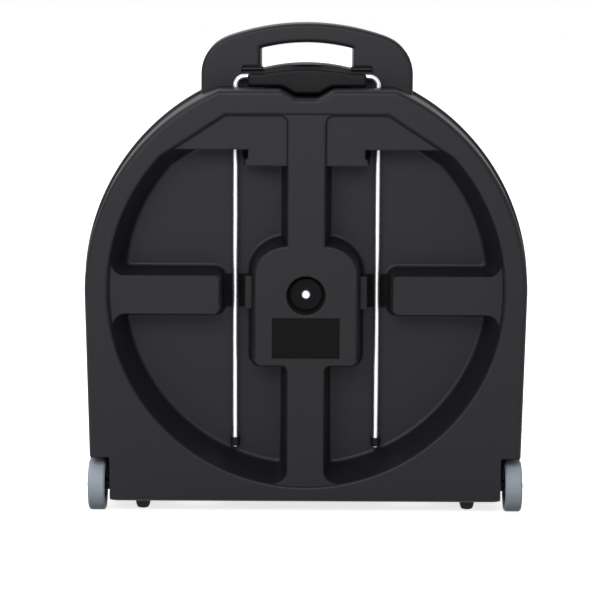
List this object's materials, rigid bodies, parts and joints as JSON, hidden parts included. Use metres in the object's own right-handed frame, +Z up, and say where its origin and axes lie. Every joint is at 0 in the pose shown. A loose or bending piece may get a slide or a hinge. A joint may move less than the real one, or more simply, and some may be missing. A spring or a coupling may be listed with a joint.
{
  "type": "cymbal trolley case",
  "caption": "Hard D-shaped cymbal case on wheels and feet, with a carry handle over its top, a pull handle on rods in its ribbed back, a hinged lid and a clamped centre bolt.",
  "frame": {"origin": "on the floor under the middle of the standing case, at the parting plane between back and lid", "axes": "+Z up, -Y out of the ribbed back that carries the pull rods, +Y out of the lid, +X to the right as seen from the back"},
  "size_m": [0.622, 0.185, 0.6795],
  "materials": {
    "shell_plastic": "fine textured charcoal, moulded",
    "black_plastic": "fine textured black, moulded",
    "grey_rubber": "matt blue-grey tread",
    "black_rubber": "matt",
    "bright_steel": "bright plated",
    "dark_steel": "dark zinc",
    "foam": "soft dark foam with a cloth face",
    "felt": "dense felt"
  },
  "bodies": {
    "rear": {"rear_shell": "shell_plastic", "rod_guide_left": "black_plastic", "rod_guide_right": "black_plastic", "axle_bolt_left": "dark_steel", "axle_bolt_right": "dark_steel", "axle_nut_left": "dark_steel", "axle_nut_right": "dark_steel", "axle_spacer_left": "black_plastic", "axle_spacer_right": "black_plastic", "foot_rear_left": "black_rubber", "foot_rear_right": "black_rubber", "hinge_leaf_rear_left": "dark_steel", "hinge_leaf_rear_right": "dark_steel", "hinge_pin_left": "bright_steel", "hinge_pin_right": "bright_steel", "latch_base_left": "bright_steel", "latch_base_right": "bright_steel", "latch_pin_left": "bright_steel", "latch_pin_right": "bright_steel", "rear_disc": "black_plastic", "centre_bolt": "bright_steel", "post_base": "black_plastic", "post_sleeve": "black_plastic", "lower_felt": "felt", "rear_foam_liner": "foam"},
    "trolley": {"trolley_grip": "black_plastic", "trolley_rod_left": "bright_steel", "trolley_rod_right": "bright_steel", "rod_stop_left": "black_plastic", "rod_stop_right": "black_plastic"},
    "wheel_left": {"wheel_tyre_left": "grey_rubber", "wheel_hub_left": "black_plastic"},
    "wheel_right": {"wheel_tyre_right": "grey_rubber", "wheel_hub_right": "black_plastic"},
    "lid": {"front_shell": "shell_plastic", "foot_front_left": "black_rubber", "foot_front_right": "black_rubber", "hinge_leaf_front_left": "dark_steel", "hinge_leaf_front_right": "dark_steel", "latch_keeper_left": "bright_steel", "latch_keeper_right": "bright_steel", "front_foam_liner": "foam"},
    "latch_left": {"latch_lever_left": "bright_steel"},
    "latch_right": {"latch_lever_right": "bright_steel"},
    "bail_left": {"latch_bail_left": "bright_steel"},
    "bail_right": {"latch_bail_right": "bright_steel"},
    "clamp": {"upper_felt": "felt", "clamp_plate": "black_plastic"},
    "nut": {"wing_nut": "bright_steel"}
  },
  "joints": [
    {"name": "trolley_slide", "type": "slide", "parent": "rear", "child": "trolley", "axis": [0, 0, 1], "range_m": [0, 0.404]},
    {"name": "wheel_left_spin", "type": "hinge", "parent": "rear", "child": "wheel_left", "pos_m": [-0.2905, -0.058, 0.036], "axis": [1, 0, 0], "continuous": true},
    {"name": "wheel_right_spin", "type": "hinge", "parent": "rear", "child": "wheel_right", "pos_m": [0.2905, -0.058, 0.036], "axis": [1, 0, 0], "continuous": true},
    {"name": "lid_hinge", "type": "hinge", "parent": "rear", "child": "lid", "pos_m": [0, 0, 0.0082], "axis": [-1, 0, 0], "range_deg": [0, 95]},
    {"name": "latch_left_lever", "type": "hinge", "parent": "rear", "child": "latch_left", "pos_m": [-0.3011, -0.012, 0.311], "axis": [0, 0, -1], "range_deg": [0, 100]},
    {"name": "latch_left_bail", "type": "hinge", "parent": "latch_left", "child": "bail_left", "pos_m": [-0.2971, -0.017, 0.311], "axis": [0, 0, -1], "range_deg": [-100, 0]},
    {"name": "latch_right_lever", "type": "hinge", "parent": "rear", "child": "latch_right", "pos_m": [0.3011, -0.012, 0.311], "axis": [0, 0, 1], "range_deg": [0, 100]},
    {"name": "latch_right_bail", "type": "hinge", "parent": "latch_right", "child": "bail_right", "pos_m": [0.2971, -0.017, 0.311], "axis": [0, 0, 1], "range_deg": [-100, 0]},
    {"name": "clamp_travel", "type": "slide", "parent": "rear", "child": "clamp", "axis": [0, 1, 0], "range_m": [0, 0.012]},
    {"name": "wing_nut_spin", "type": "hinge", "parent": "clamp", "child": "nut", "pos_m": [0, 0.034, 0.308], "axis": [0, 1, 0], "range_deg": [0, 3455]}
  ],
  "couplings": [
    {"joint": "latch_left_bail", "follows": "latch_left_lever", "ratio": -1},
    {"joint": "latch_right_bail", "follows": "latch_right_lever", "ratio": -1},
    {"joint": "clamp_travel", "follows": "wing_nut_spin", "m_per_rad": 0.00019894}
  ]
}
